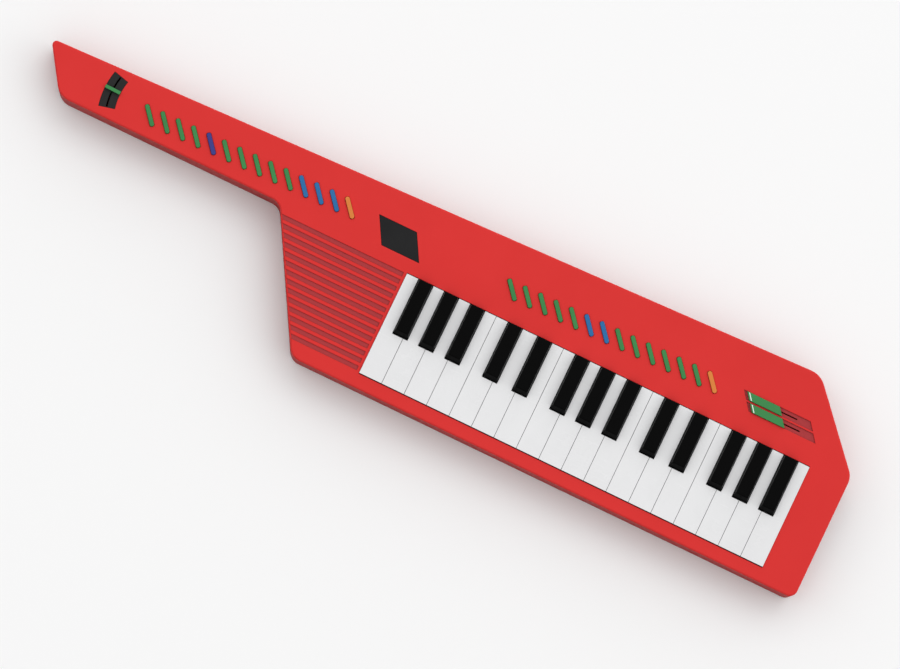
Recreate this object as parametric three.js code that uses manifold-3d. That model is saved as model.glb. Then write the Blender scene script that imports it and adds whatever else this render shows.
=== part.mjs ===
// A shoulder keyboard ("keytar"): a flat two-shell casing with a neck for the left hand, thirty-one
// small keys on one pivot rod, two rows of slanted push buttons, a bend lever, two slide controls,
// a display, a speaker behind a grooved grille, and a battery bay and strap pins at the back.
//
// Millimetres. The instrument lies on its back: X runs from the tip of the neck to the right-hand
// end, Y from the edge nearest the player to the far edge, Z up out of the front panel. The origin is
// under the middle of the casing, on the surface that the back rests on.
import * as THREE from "three";
import { mergeVertices } from "three/addons/utils/BufferGeometryUtils.js";
import Module from "manifold-3d";

const wasm = await Module();
wasm.setup();

// ---------------------------------------------------------------- driving dimensions

const PANEL_Z = 40; // front panel above the back face
const PARTING_Z = 20; // where the two shells meet
const WALL = 2.5;
const GAP = 0.3; // left between parts that meet
const EDGE_CHAMFER = 1.2;

// The casing's outline: sharp corners with the radius that rounds each one, anticlockwise.
const OUTLINE = [
  { x: -403.1, y: 67.9, r: 3.8 }, // tip of the neck, far side
  { x: -374.3, y: 24.5, r: 16.5 }, // tip of the neck, near side
  { x: -158.5, y: 24.5, r: 13 }, // inside corner, where the neck joins the body
  { x: -90, y: -94.5, r: 13.5 },
  { x: 400, y: -94.5, r: 7.5 },
  { x: 400, y: 24.5, r: 16 },
  { x: 337.4, y: 94.9, r: 19.5 },
];
const NECK_CORNER = OUTLINE[2];
const BODY_CORNER = OUTLINE[3];
const RIGHT_END = OUTLINE[4].x;

// Keyboard: eighteen white keys from F to B, with their thirteen black keys.
const KEYS = { left: -30.4, right: 363.2, front: -81.8, back: 17 };
const WHITE_NOTES = "FGABCDEFGABCDEFGAB".split("");
const FIRST_OCTAVE = 3;
const WHITE_PITCH = (KEYS.right - KEYS.left) / WHITE_NOTES.length;
const WHITE_TOP_Z = 41.5;
const BLACK_TOP_Z = 48;
const BLACK_WIDTH = 14.2;
const BLACK_LENGTH = 53.4;
// How far each black key stands from the joint between its two white keys.
const BLACK_SHIFT = { F: -3.2, G: 0, A: 3.7, C: -3.3, D: 3.6 };
const KEY_GAP = 0.4; // between one key and the next
const SHOULDER_GAP = 0.9; // in front of a black key, which swings forward as it sinks
const WINDOW_GAP = 0.8; // between the keys and the casing
const KEY_SKIN = 1.6;
const SKIRT_Z = 28.6; // underside of a key
const TAIL_TOP_Z = 35.2; // the tail passes under the front panel
const TAIL_BACK = 32.5;
const PIVOT = { y: 28, z: 31, rodRadius: 1.5, holeRadius: 2 };

// Push buttons: two rows of fourteen, each row tilted a little and each button slanted.
const BUTTON = { length: 20, width: 3.9, corner: 1.1, slant: -50.2, topZ: 41.6, windowGap: 0.25 };
const ROW_PITCH = 14.94;
const ROW_TILT = 0.94; // degrees
const NECK_ROW = { x: -295.1, y: 43.6, colours: "gggg n ggggg bbb o".replaceAll(" ", "") };
const BODY_ROW = { x: 59.3, y: 43.6, colours: "ggggg bb gggggg o".replaceAll(" ", "") };
const RUNNER_LANE = 6.25; // how far the strip that joins a colour's buttons runs from the row's line

// Slide controls: slanted pockets, given by their far left corner.
const SLIDER = { length: 65.2, height: 7.2, slant: 38, floorZ: 38.8, capLength: 32.4, capStart: 2.8 };
const STEM = { half: 2, thick: 0.4, play: 0.2 }; // the control's foot, in its slit
const SLIDER_POCKETS = { volume_slider: { x: 281.5, y: 53.3 }, tempo_slider: { x: 288.1, y: 44.6 } };

const DISPLAY = { x: -75.1, y: 53.1, width: 36.9, height: 24, slant: 29.6 };

// Bend lever: it turns about a post in the neck, and its bar crosses an arc-shaped window.
const BEND = { x: -270.7, y: 48.6, inner: 55.9, outer: 70.9, halfAngle: 13.8, rest: -1.3, stem: 63.6 };

const BEND_HUB_Z = 19; // underside of the lever's hub

// Grille: grooves that run out at the slanted side, with slits through to the speaker.
const GROOVES = { count: 14, right: -33.2, firstY: 13.9, pitch: 7.06, width: 4.1, depth: 0.9 };
const SPEAKER = { x: -77, y: -28, radius: 38.5, slitRadius: 32, slitWidth: 1.2 };

const BATTERY_BAY = { x0: 122, x1: 226, y0: -61, y1: -15, roofZ: 18 };
const DOOR_LEDGE = 4; // how far the door laps over the bay's edge
const STRAP_PINS = { strap_pin_neck: [-215, 49], strap_pin_body: [364, 32] };
const PIN_POCKET = { radius: 15, depth: 9 };
const JACK_PANEL = { y0: -55, y1: 13, z0: 9.5, z1: 30.5, face: RIGHT_END - 2.8, thick: 2 };
const SCREWS = [
  [-384, 56], [-222, 30], [-162, 67], [-78, -83], [155, -88], [388, -83], [334, 82], [90, 77],
];

// ---------------------------------------------------------------- materials

const plastic = (color, roughness = 0.4) =>
  new THREE.MeshStandardMaterial({ color, roughness, metalness: 0 });
const MATERIALS = {
  red: plastic(0xd83b39),
  white: plastic(0xe3e3e4, 0.25),
  black: plastic(0x0b0b0b, 0.3),
  trim: plastic(0x282828, 0.5),
  green: plastic(0x3f8850),
  navy: plastic(0x424488),
  blue: plastic(0x326ea5),
  orange: plastic(0xd88342),
  rubber: plastic(0x3a3a3c, 0.9),
  board: plastic(0x2e5b3c, 0.6),
  cone: plastic(0x1c1c1e, 0.95),
  chassis: plastic(0xb9b7ae, 0.6),
  steel: new THREE.MeshStandardMaterial({ color: 0xb8babd, roughness: 0.3, metalness: 1 }),
};

// ---------------------------------------------------------------- small tools

const rad = THREE.MathUtils.degToRad;

/** A closed three.js geometry as a solid that can be joined and cut. */
function solid(geometry) {
  const bare = geometry.clone();
  bare.deleteAttribute("normal");
  bare.deleteAttribute("uv");
  const merged = mergeVertices(bare);
  return new wasm.Manifold(
    new wasm.Mesh({
      numProp: 3,
      vertProperties: merged.attributes.position.array,
      triVerts: new Uint32Array(merged.index.array),
    }),
  );
}

function geometryOf(body) {
  const mesh = body.getMesh();
  return new THREE.BufferGeometry()
    .setAttribute("position", new THREE.BufferAttribute(mesh.vertProperties, 3))
    .setIndex(new THREE.BufferAttribute(mesh.triVerts, 1));
}

function block(x0, x1, y0, y1, z0, z1) {
  const box = new THREE.BoxGeometry(x1 - x0, y1 - y0, z1 - z0);
  return solid(box.translate((x0 + x1) / 2, (y0 + y1) / 2, (z0 + z1) / 2));
}

/** A flat shape raised from z0 to z1, with an optional chamfer round both ends. */
function prism(shape, z0, z1, chamfer = 0, curveSegments = 3) {
  const options = { depth: z1 - z0 - 2 * chamfer, curveSegments, bevelEnabled: chamfer > 0 };
  Object.assign(options, { bevelThickness: chamfer, bevelSize: chamfer, bevelOffset: -chamfer });
  options.bevelSegments = 1;
  return solid(new THREE.ExtrudeGeometry(shape, options).translate(0, 0, z0 + chamfer));
}

/** An upright round bar; sides is the number of its flat faces. */
function post(x, y, radius, z0, z1, sides = 12) {
  const bar = new THREE.CylinderGeometry(radius, radius, z1 - z0, sides).rotateX(Math.PI / 2);
  return solid(bar.translate(x, y, (z0 + z1) / 2));
}

/** A round bar along X. */
function crossBar(y, z, radius, x0, x1, sides = 8) {
  const bar = new THREE.CylinderGeometry(radius, radius, x1 - x0, sides).rotateZ(Math.PI / 2);
  return solid(bar.translate((x0 + x1) / 2, y, z));
}

/** A turned part: its profile is [radius, z] pairs, and it stands at x, y. */
function turned(profile, x, y, sides = 20) {
  const points = profile.map(([r, z]) => new THREE.Vector2(r, z));
  return solid(new THREE.LatheGeometry(points, sides).rotateX(Math.PI / 2).translate(x, y, 0));
}

const polygon = (points) => new THREE.Shape(points.map(([x, y]) => new THREE.Vector2(x, y)));

/** A parallelogram that leans right as it comes down from its far left corner, inset all round. */
function leaning(x, y, width, height, slant, inset = 0) {
  const [tan, side] = [Math.tan(rad(slant)), inset / Math.cos(rad(slant))];
  const [left, lean, wide] = [x + inset * tan + side, (height - 2 * inset) * tan, width - 2 * side];
  const [far, near] = [y - inset, y - height + inset];
  return polygon([[left, far], [left + lean, near], [left + lean + wide, near], [left + wide, far]]);
}

/** Part of a ring about the bend lever's pivot, on the side of the neck's tip. */
function bendSector(inner, outer, halfAngle) {
  const shape = new THREE.Shape();
  const [from, to] = [Math.PI - rad(halfAngle), Math.PI + rad(halfAngle)];
  shape.absarc(BEND.x, BEND.y, outer, from, to, false);
  shape.absarc(BEND.x, BEND.y, inner, to, from, true);
  return shape;
}

/** The casing's outline, moved inwards by inset, with its corners rounded by arcs. */
function outline(inset = 0) {
  const points = OUTLINE.map(({ x, y }) => new THREE.Vector2(x, y));
  const count = points.length;
  const way = points.map((p, i) => points[(i + 1) % count].clone().sub(p).normalize());
  const shape = new THREE.Shape();
  points.forEach((corner, i) => {
    const [into, out] = [way[(i + count - 1) % count], way[i]];
    const turn = into.cross(out); // above 0 at an outside corner
    const radius = OUTLINE[i].r - Math.sign(turn) * inset;
    const half = Math.acos(into.dot(out)) / 2;
    const inward = new THREE.Vector2(-into.y - out.y, into.x + out.x).normalize();
    const moved = corner.clone().addScaledVector(inward, inset / Math.cos(half));
    const centre = moved.clone().addScaledVector(inward, (Math.sign(turn) * radius) / Math.cos(half));
    const start = Math.atan2(-into.x, into.y) + (turn > 0 ? 0 : Math.PI);
    const side = turn > 0 ? 1 : -1;
    shape.absarc(centre.x, centre.y, radius, start, start + side * 2 * half, turn < 0);
  });
  shape.closePath();
  return shape;
}

const instrument = new THREE.Group();
instrument.name = "keytar";

function add(name, body, material, parent = instrument) {
  const mesh = new THREE.Mesh(geometryOf(body), MATERIALS[material]);
  mesh.name = name;
  parent.add(mesh);
  return mesh;
}

const union = (bodies) => bodies.reduce((whole, body) => whole.add(body));

// ---------------------------------------------------------------- button rows

/** One button's footprint in its row's own frame, wider by margin all round. */
function buttonShape(index, margin = 0) {
  const [long, wide] = [BUTTON.length / 2 + margin, BUTTON.width / 2 + margin];
  const angle = rad(BUTTON.slant - ROW_TILT);
  const middle = new THREE.Vector2(index * ROW_PITCH, 0);
  const [end, side] = [long - BUTTON.corner, wide - BUTTON.corner];
  const corners = [
    [-long, -side], [-end, -wide], [end, -wide], [long, -side],
    [long, side], [end, wide], [-end, wide], [-long, side],
  ];
  return new THREE.Shape(
    corners.map(([x, y]) => new THREE.Vector2(x, y).rotateAround(new THREE.Vector2(), angle).add(middle)),
  );
}

/** Moves a body from a row's own frame into the instrument's. */
const inRow = (body, row) => body.rotate([0, 0, ROW_TILT]).translate([row.x, row.y, 0]);

function buttonWindows(row) {
  const windows = [...row.colours].map((_, i) =>
    prism(buttonShape(i, BUTTON.windowGap), PARTING_Z + WALL, PANEL_Z + 1));
  return inRow(union(windows), row);
}

/**
 * All the buttons of one colour in one row, moulded on a strip under the panel. The green strip runs
 * along the far ends of the buttons. Other colours stop short of it and are joined at the near ends.
 */
function buttonStrip(row, colour) {
  const places = [...row.colours].flatMap((c, i) => (c === colour ? [i] : []));
  const green = colour === "g";
  const [stripZ0, stripZ1, clearZ, plungerZ] = [34, 36, 37.6, 31.7];
  const lane = green ? RUNNER_LANE : -RUNNER_LANE;
  const laneX = (i) => i * ROW_PITCH - lane * Math.tan(rad(90 + BUTTON.slant));
  const [halfStrip, overhang, shelf] = [1.25, 3, 3.5];
  const buttons = places.map((i) => {
    const cap = prism(buttonShape(i), green ? stripZ0 : clearZ, BUTTON.topZ);
    const x = i * ROW_PITCH;
    const plunger = block(x - 1.5, x + 1.5, -1.5, 1.5, plungerZ, stripZ1);
    if (green) return cap.add(plunger);
    const lower = prism(buttonShape(i), stripZ0, clearZ + 1);
    const farHalf = block(x - 12, x + 12, shelf, 12, stripZ0 - 1, clearZ);
    return cap.add(lower.subtract(farHalf)).add(plunger);
  });
  const [first, last] = [laneX(places[0]), laneX(places.at(-1))];
  buttons.push(block(first - overhang, last + overhang, lane - halfStrip, lane + halfStrip, stripZ0, stripZ1));
  return inRow(union(buttons), row);
}

// ---------------------------------------------------------------- casing

/** The line of the body's slanted left side: x at a given y. */
function leftSideX(y) {
  const share = (NECK_CORNER.y - y) / (NECK_CORNER.y - BODY_CORNER.y);
  return NECK_CORNER.x + share * (BODY_CORNER.x - NECK_CORNER.x);
}

/** Grooves across the grille, which run out at the slanted side. */
function grilleGrooves() {
  const cuts = [];
  const out = 10; // how far a cut starts outside the casing
  for (let i = 0; i < GROOVES.count; i += 1) {
    const far = GROOVES.firstY + GROOVES.width / 2 - i * GROOVES.pitch;
    const near = far - GROOVES.width;
    const left = leftSideX(far) - out;
    cuts.push(block(left, GROOVES.right, near, far, PANEL_Z - GROOVES.depth, PANEL_Z + 1));
  }
  return union(cuts);
}

/** Slits through the floors of the grooves that lie over the speaker. */
function speakerSlits() {
  const cuts = [];
  for (let i = 0; i < GROOVES.count; i += 1) {
    const y = GROOVES.firstY - i * GROOVES.pitch;
    const reach = Math.sqrt(Math.max(0, SPEAKER.slitRadius ** 2 - (y - SPEAKER.y) ** 2));
    const half = SPEAKER.slitWidth / 2;
    if (reach > 6) cuts.push(block(SPEAKER.x - reach, SPEAKER.x + reach, y - half, y + half, 30, PANEL_Z));
  }
  return union(cuts);
}

function sliderPocket({ x, y }) {
  const pocket = prism(leaning(x, y, SLIDER.length, SLIDER.height, SLIDER.slant), SLIDER.floorZ, PANEL_Z + 1);
  const stem = sliderStem({ x, y });
  const slit = block(
    stem.x - stem.left - STEM.half - GAP, stem.x + stem.right + STEM.half + GAP,
    stem.y - STEM.thick - STEM.play, stem.y + STEM.thick + STEM.play, 30, PANEL_Z,
  );
  return pocket.add(slit);
}

/** Where a slide control's stem stands, and how far it can go left and right. */
function sliderStem({ x, y }) {
  const lean = (SLIDER.height / 2) * Math.tan(rad(SLIDER.slant));
  return {
    x: x + SLIDER.capStart + SLIDER.capLength / 2 + lean,
    y: y - SLIDER.height / 2,
    left: SLIDER.capStart - GAP,
    right: SLIDER.length - SLIDER.capStart - SLIDER.capLength - GAP,
  };
}

function topCasing() {
  const chamfered = prism(outline(), PARTING_Z - 2 * EDGE_CHAMFER, PANEL_Z, EDGE_CHAMFER);
  const below = block(-500, 500, -200, 200, 0, PARTING_Z + GAP / 2);
  const hollow = prism(outline(WALL), PARTING_Z - 1, PANEL_Z - WALL);
  const bosses = SCREWS.map(([x, y]) => post(x, y, 3.5, PARTING_Z + GAP / 2, PANEL_Z - WALL / 2, 8));
  const sliderPad = block(280, 360, 34, 56, SLIDER.floorZ - 2, PANEL_Z - WALL / 2);
  const shell = union([chamfered.subtract(below).subtract(hollow), sliderPad, ...bosses]);
  const { x, y, width, height, slant } = DISPLAY;
  const jacks = block(RIGHT_END - 4, RIGHT_END + 1, JACK_PANEL.y0, JACK_PANEL.y1, 0, JACK_PANEL.z1);
  const cuts = [
    block(KEYS.left, KEYS.right, KEYS.front, KEYS.back, PARTING_Z, PANEL_Z + 1),
    prism(leaning(x, y, width, height, slant), PANEL_Z - WALL - 1, PANEL_Z + 1),
    prism(bendSector(BEND.inner, BEND.outer, BEND.halfAngle), PANEL_Z - WALL - 1, PANEL_Z + 1),
    buttonWindows(NECK_ROW),
    buttonWindows(BODY_ROW),
    grilleGrooves(),
    speakerSlits(),
    ...Object.values(SLIDER_POCKETS).map(sliderPocket),
    jacks,
  ];
  return shell.subtract(union(cuts));
}

function bottomCasing() {
  const topZ = PARTING_Z - GAP / 2;
  const chamfered = prism(outline(), 0, PARTING_Z + 2 * EDGE_CHAMFER, EDGE_CHAMFER);
  const above = block(-500, 500, -200, 200, topZ, PANEL_Z);
  const hollow = prism(outline(WALL), WALL, PARTING_Z + 5);
  const bosses = SCREWS.map(([x, y]) => post(x, y, 4.5, WALL / 2, topZ, 8));
  const bendPost = post(BEND.x, BEND.y, 2.8, WALL / 2, 26.5, 12).add(
    post(BEND.x, BEND.y, 5, WALL / 2, BEND_HUB_Z - GAP, 12));
  const pinCups = Object.values(STRAP_PINS).map(([x, y]) =>
    post(x, y, PIN_POCKET.radius + 2, WALL / 2, PIN_POCKET.depth + 2, 20));
  const bay = BATTERY_BAY;
  const skin = 2;
  const bayWalls = block(bay.x0 - skin, bay.x1 + skin, bay.y0 - skin, bay.y1 + skin, 0.5, bay.roofZ + 1.6);
  const around = DOOR_LEDGE + 2.5;
  const bayPad = block(bay.x0 - around, bay.x1 + around, bay.y0 - around, bay.y1 + around, 0.5, WALL + skin);
  const shell = union([
    chamfered.subtract(above).subtract(hollow), ...bosses, bendPost, ...pinCups, bayWalls, bayPad,
  ]);
  const rim = DOOR_LEDGE + GAP;
  const cuts = [
    ...SCREWS.map(([x, y]) => post(x, y, 3, -1, 10, 8)),
    ...Object.values(STRAP_PINS).map(([x, y]) => post(x, y, PIN_POCKET.radius, -1, PIN_POCKET.depth, 20)),
    block(bay.x0, bay.x1, bay.y0, bay.y1, -1, bay.roofZ),
    block(bay.x0 - rim, bay.x1 + rim, bay.y0 - rim, bay.y1 + rim, -1, WALL),
    block(RIGHT_END - 4, RIGHT_END + 1, JACK_PANEL.y0, JACK_PANEL.y1, JACK_PANEL.z0, PANEL_Z),
  ];
  return shell.subtract(union(cuts));
}

/** The lid of the battery bay: a flat panel with a thumb recess and a row of grip ridges. */
function batteryDoor() {
  const { x0, x1, y0, y1 } = BATTERY_BAY;
  const [near, far, middle] = [y0 - DOOR_LEDGE, y1 + DOOR_LEDGE, (y0 + y1) / 2];
  const panel = block(x0 - DOOR_LEDGE, x1 + DOOR_LEDGE, near, far, 0.4, WALL - GAP);
  const thumb = block(x1 - 16, x1 - 4, middle - 9, middle + 9, 0, 1);
  const ridges = [0, 1, 2, 3].map((i) =>
    block(x1 - 14.6 + i * 2.6, x1 - 13.4 + i * 2.6, middle - 8, middle + 8, 0.4, 1.5));
  return panel.subtract(thumb).add(union(ridges));
}

add("top_casing", topCasing(), "red");
add("bottom_casing", bottomCasing(), "red");
add("battery_door", batteryDoor(), "red");

// ---------------------------------------------------------------- keyboard

/** A tail that passes under the panel to the pivot rod. */
function keyTail(x0, x1) {
  return block(x0, x1, 8, TAIL_BACK, SKIRT_Z - 1, TAIL_TOP_Z);
}

const rodHole = crossBar(PIVOT.y, PIVOT.z, PIVOT.holeRadius, KEYS.left - 20, KEYS.right + 20, 8);

/** The black key that stands over the joint to the right of white key i, or nothing. */
function blackKeyMiddle(i) {
  const shift = BLACK_SHIFT[WHITE_NOTES[i]];
  const exists = shift !== undefined && i < WHITE_NOTES.length - 1;
  return exists ? KEYS.left + (i + 1) * WHITE_PITCH + shift : undefined;
}

const CONTACT_Y = -5; // where each key presses its rubber dome
const DOME_TOP_Z = 27.4;
const PLUNGER_Z = DOME_TOP_Z + 2.4;
const KEY_FRONT = KEYS.front + WINDOW_GAP;
const KEY_BACK = KEYS.back - WINDOW_GAP;
const BLACK_FRONT = KEY_BACK - BLACK_LENGTH + WINDOW_GAP;

/** The cross inside a key that presses its rubber dome. */
function keyPlunger(x0, x1) {
  return block(x0, x1, CONTACT_Y - 1, CONTACT_Y + 1, PLUNGER_Z, WHITE_TOP_Z - 1);
}

/** White key i: a hollow moulding, narrow where the black keys stand beside it. */
function whiteKey(i) {
  const left = KEYS.left + i * WHITE_PITCH + KEY_GAP / 2;
  const right = left + WHITE_PITCH - KEY_GAP;
  const clear = BLACK_WIDTH / 2 + KEY_GAP;
  const [before, after] = [blackKeyMiddle(i - 1), blackKeyMiddle(i)];
  const tailLeft = before === undefined ? left : before + clear;
  const tailRight = after === undefined ? right : after - clear;
  const shoulder = BLACK_FRONT - SHOULDER_GAP;
  const plan = (skin) =>
    polygon([
      [left + skin, KEY_FRONT + skin], [right - skin, KEY_FRONT + skin],
      ...(after === undefined ? [] : [[right - skin, shoulder - skin], [tailRight - skin, shoulder - skin]]),
      [tailRight - skin, KEY_BACK - 2 * skin], [tailLeft + skin, KEY_BACK - 2 * skin],
      ...(before === undefined ? [] : [[tailLeft + skin, shoulder - skin], [left + skin, shoulder - skin]]),
    ]);
  const shell = prism(plan(0), SKIRT_Z, WHITE_TOP_Z);
  const hollow = prism(plan(KEY_SKIN), SKIRT_Z - 2, WHITE_TOP_Z - 2).subtract(
    block(left, right, 8, KEY_BACK, SKIRT_Z - 3, WHITE_TOP_Z));
  const plunger = keyPlunger(tailLeft + KEY_SKIN / 2, tailRight - KEY_SKIN / 2);
  const tail = keyTail(tailLeft + 0.2, tailRight - 0.2);
  return union([shell.subtract(hollow), plunger, tail]).subtract(rodHole);
}

/** A box whose top is narrower than its foot and starts further back. */
function taperedBlock(x0, x1, y0, y1, z0, z1, sideTaper, frontTaper) {
  const box = new THREE.BoxGeometry(x1 - x0, y1 - y0, z1 - z0);
  box.translate((x0 + x1) / 2, (y0 + y1) / 2, (z0 + z1) / 2);
  const place = box.attributes.position;
  for (let i = 0; i < place.count; i += 1) {
    if (place.getZ(i) < z1 - 1e-3) continue;
    place.setX(i, place.getX(i) + (place.getX(i) < (x0 + x1) / 2 ? sideTaper : -sideTaper));
    if (place.getY(i) < (y0 + y1) / 2) place.setY(i, place.getY(i) + frontTaper);
  }
  return solid(box);
}

/** The black key whose middle is at x. */
function blackKey(x) {
  const [left, right] = [x - BLACK_WIDTH / 2, x + BLACK_WIDTH / 2];
  const foot = block(left, right, BLACK_FRONT, KEY_BACK, SKIRT_Z, WHITE_TOP_Z);
  const cap = taperedBlock(left, right, BLACK_FRONT, KEY_BACK, WHITE_TOP_Z, BLACK_TOP_Z, 1.1, 3.5);
  const hollow = block(
    left + KEY_SKIN, right - KEY_SKIN, BLACK_FRONT + KEY_SKIN, 8, SKIRT_Z - 1, WHITE_TOP_Z);
  const plunger = keyPlunger(left + KEY_SKIN / 2, right - KEY_SKIN / 2);
  return union([foot.add(cap).subtract(hollow), plunger, keyTail(x - 4, x + 4)]).subtract(rodHole);
}

let octave = FIRST_OCTAVE;
WHITE_NOTES.forEach((note, i) => {
  if (note === "C") octave += 1;
  add(`key_${note}${octave}`, whiteKey(i), "white");
  const middle = blackKeyMiddle(i);
  if (middle !== undefined) add(`key_${note}s${octave}`, blackKey(middle), "black");
});

// ---------------------------------------------------------------- under the keys

const CHASSIS_Z = 21.6; // top of the chassis plate
const RIB_HALF = 0.7;

/** A plate with a rib beside each black key to carry the rod, and a guide post inside each white key. */
function keyChassis() {
  const parts = [block(KEYS.left, KEYS.right, -78, 36, PARTING_Z, CHASSIS_Z)];
  parts.push(block(KEYS.left, KEYS.right, 34, 36, PARTING_Z, 27));
  WHITE_NOTES.forEach((_, i) => {
    const middle = KEYS.left + (i + 0.5) * WHITE_PITCH;
    parts.push(block(middle - 2.5, middle + 2.5, -72, -68, PARTING_Z, 31));
    const black = blackKeyMiddle(i);
    const rib = black === undefined ? undefined : black - 4 - GAP - 2 * RIB_HALF;
    if (rib !== undefined) parts.push(block(rib - RIB_HALF, rib + RIB_HALF, 24, 34.5, PARTING_Z, 33.5));
  });
  const saddle = block(KEYS.left - 1, KEYS.right + 1, PIVOT.y - 1.8, PIVOT.y + 1.8, PIVOT.z - 1.8, 34);
  return union(parts).subtract(saddle);
}

/** A rubber strip with one dome under each key. */
function contactStrip() {
  const [base, seat, y] = [CHASSIS_Z + GAP, CHASSIS_Z + 1.6, CONTACT_Y];
  const dome = (x) => block(x - 2.2, x + 2.2, y - 3, y + 3, seat - 0.5, DOME_TOP_Z);
  const parts = [block(KEYS.left + 2, KEYS.right - 2, y - 8, y + 8, base, seat)];
  WHITE_NOTES.forEach((_, i) => {
    const black = blackKeyMiddle(i);
    const [left, right] = [blackKeyMiddle(i - 1), black];
    const edges = [KEYS.left + i * WHITE_PITCH, KEYS.left + (i + 1) * WHITE_PITCH];
    const from = left === undefined ? edges[0] : left + BLACK_WIDTH / 2;
    const to = right === undefined ? edges[1] : right - BLACK_WIDTH / 2;
    parts.push(dome((from + to) / 2));
    if (black !== undefined) parts.push(dome(black));
  });
  return union(parts);
}

add("key_chassis", keyChassis(), "chassis");
add("key_pivot_rod", crossBar(PIVOT.y, PIVOT.z, PIVOT.rodRadius, KEYS.left + 1, KEYS.right - 1), "steel");
add("contact_strip", contactStrip(), "rubber");

// ---------------------------------------------------------------- controls

const COLOUR_NAMES = { g: "green", n: "navy", b: "blue", o: "orange" };
Object.entries({ neck: NECK_ROW, body: BODY_ROW }).forEach(([place, row]) => {
  new Set(row.colours).forEach((colour) => {
    const name = COLOUR_NAMES[colour];
    add(`${place}_buttons_${name}`, buttonStrip(row, colour), name);
  });
});

/** A circuit board under one row, with a switch for every button. */
function switchBoard(row, x0, x1, y0, y1) {
  const [z0, z1, switchTop] = [27, 28.6, 30.2];
  const last = ROW_PITCH * (row.colours.length - 1);
  const parts = [block(-x0, last + x1, -y0, y1, z0, z1)];
  [...row.colours].forEach((_, i) => {
    const x = i * ROW_PITCH;
    parts.push(block(x - 3, x + 3, -3, 3, z1 - 0.5, switchTop));
  });
  return inRow(union(parts), row);
}

add("neck_board", switchBoard(NECK_ROW, 8, 12, 9, 9), "board");
add("main_board", switchBoard(BODY_ROW, 44, 16, 7, 24), "board");

Object.entries(SLIDER_POCKETS).forEach(([name, pocket]) => {
  const { x, y } = pocket;
  const stem = sliderStem(pocket);
  const plan = leaning(x + SLIDER.capStart, y, SLIDER.capLength, SLIDER.height, SLIDER.slant, 0.25);
  const cap = prism(plan, SLIDER.floorZ + GAP, PANEL_Z + 2);
  const foot = block(
    stem.x - STEM.half, stem.x + STEM.half, stem.y - STEM.thick, stem.y + STEM.thick, 31, PANEL_Z);
  add(name, cap.add(foot), "green");
});

/** The black guide that fills the window in the neck: a flange under it, and an arc slit. */
function bendGuide() {
  const { inner, outer, halfAngle, stem } = BEND;
  const [flangeZ, underZ] = [PANEL_Z - WALL - 1.6, PANEL_Z - WALL - GAP];
  const flange = prism(bendSector(inner - 2.4, outer + 2.4, halfAngle + 1.2), flangeZ, underZ);
  const face = prism(bendSector(inner + 0.15, outer - 0.15, halfAngle - 0.15), flangeZ + 1, PANEL_Z - 0.2);
  const slit = prism(bendSector(stem - 0.8, stem + 0.8, halfAngle - 0.8), 30, PANEL_Z);
  return flange.add(face).subtract(slit);
}

/** The lever: a hub on its post, an arm under the neck board, a stem up through the slit, and a bar. */
function bendLever() {
  const { x, y, inner, outer, rest, stem: reach } = BEND;
  const hub = post(0, 0, 7, BEND_HUB_Z, 25.5, 16);
  const arm = block(-65, -5, -3, 3, 20.5, 24);
  const stem = block(-reach - 0.5, -reach + 0.5, -1.4, 1.4, 21, PANEL_Z + 1);
  const bar = block(-outer + 0.2, -inner - 0.2, -1.5, 1.5, PANEL_Z + GAP, PANEL_Z + 3);
  const whole = union([hub, arm, stem, bar]).subtract(post(0, 0, 3.2, 10, 30, 12));
  return whole.rotate([0, 0, rest]).translate([x, y, 0]);
}

add("bend_guide", bendGuide(), "trim");
add("bend_lever", bendLever(), "green");

// ---------------------------------------------------------------- display and speaker

/** The smoked lens, flush with the panel, on a flange that sits under it. */
function displayWindow() {
  const { x, y, width, height, slant } = DISPLAY;
  const lens = prism(leaning(x, y, width, height, slant, 0.15), PANEL_Z - WALL - 1, PANEL_Z - 0.1);
  const flange = leaning(x, y, width, height, slant, -2);
  return lens.add(prism(flange, PANEL_Z - WALL - 1.8, PANEL_Z - WALL - GAP));
}

/** A two-digit display block with a shallow recess for each digit. */
function displayModule() {
  const { x, y, width, height, slant } = DISPLAY;
  const [middleX, middleY] = [x + width / 2 + (height / 2) * Math.tan(rad(slant)), y - height / 2];
  const body = block(middleX - 14, middleX + 14, middleY - 9, middleY + 9, 27, 35.2);
  const digits = [-6.5, 6.5].map((dx) =>
    block(middleX + dx - 4.5, middleX + dx + 4.5, middleY - 6.5, middleY + 6.5, 34.6, 36));
  return body.subtract(union(digits));
}

add("display_window", displayWindow(), "trim");
add("display_module", displayModule(), "trim");

const SPEAKER_RIM_Z = PANEL_Z - WALL - 0.6;
const FRAME_PROFILE = [
  [0, -25], [24, -25], [24, -15], [28, -13], [36.5, -2], [38.5, -2], [38.5, 0], [35.6, 0], [35.6, -1.2],
  [26.5, -11.6], [14, -13], [0, -13],
];
const CONE_PROFILE = [
  [0, -12.4], [9, -12.4], [9, -9.8], [30, -2.2], [32.6, -1.1], [34.9, -1], [34.9, -0.5], [32.6, -0.3],
  [30, -1.2], [9, -8.6], [6, -7.2], [0, -6.4],
];
const fromRim = (profile) => profile.map(([r, z]) => [r, SPEAKER_RIM_Z + z]);
add("speaker_frame", turned(fromRim(FRAME_PROFILE), SPEAKER.x, SPEAKER.y), "steel");
add("speaker_cone", turned(fromRim(CONE_PROFILE), SPEAKER.x, SPEAKER.y), "cone");

// ---------------------------------------------------------------- sockets and strap pins

const JACK_Z = PARTING_Z;
const SOCKETS = { phones_jack: -40, midi_socket: -19, power_inlet: 1 };
const NOSES = { phones_jack: 5.2, midi_socket: 8.8, power_inlet: 5.4 };

/** A round bar along X whose outer end is at x1. */
const nose = (y, radius, x0, x1, sides = 16) => crossBar(y, JACK_Z, radius, x0, x1, sides);

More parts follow.
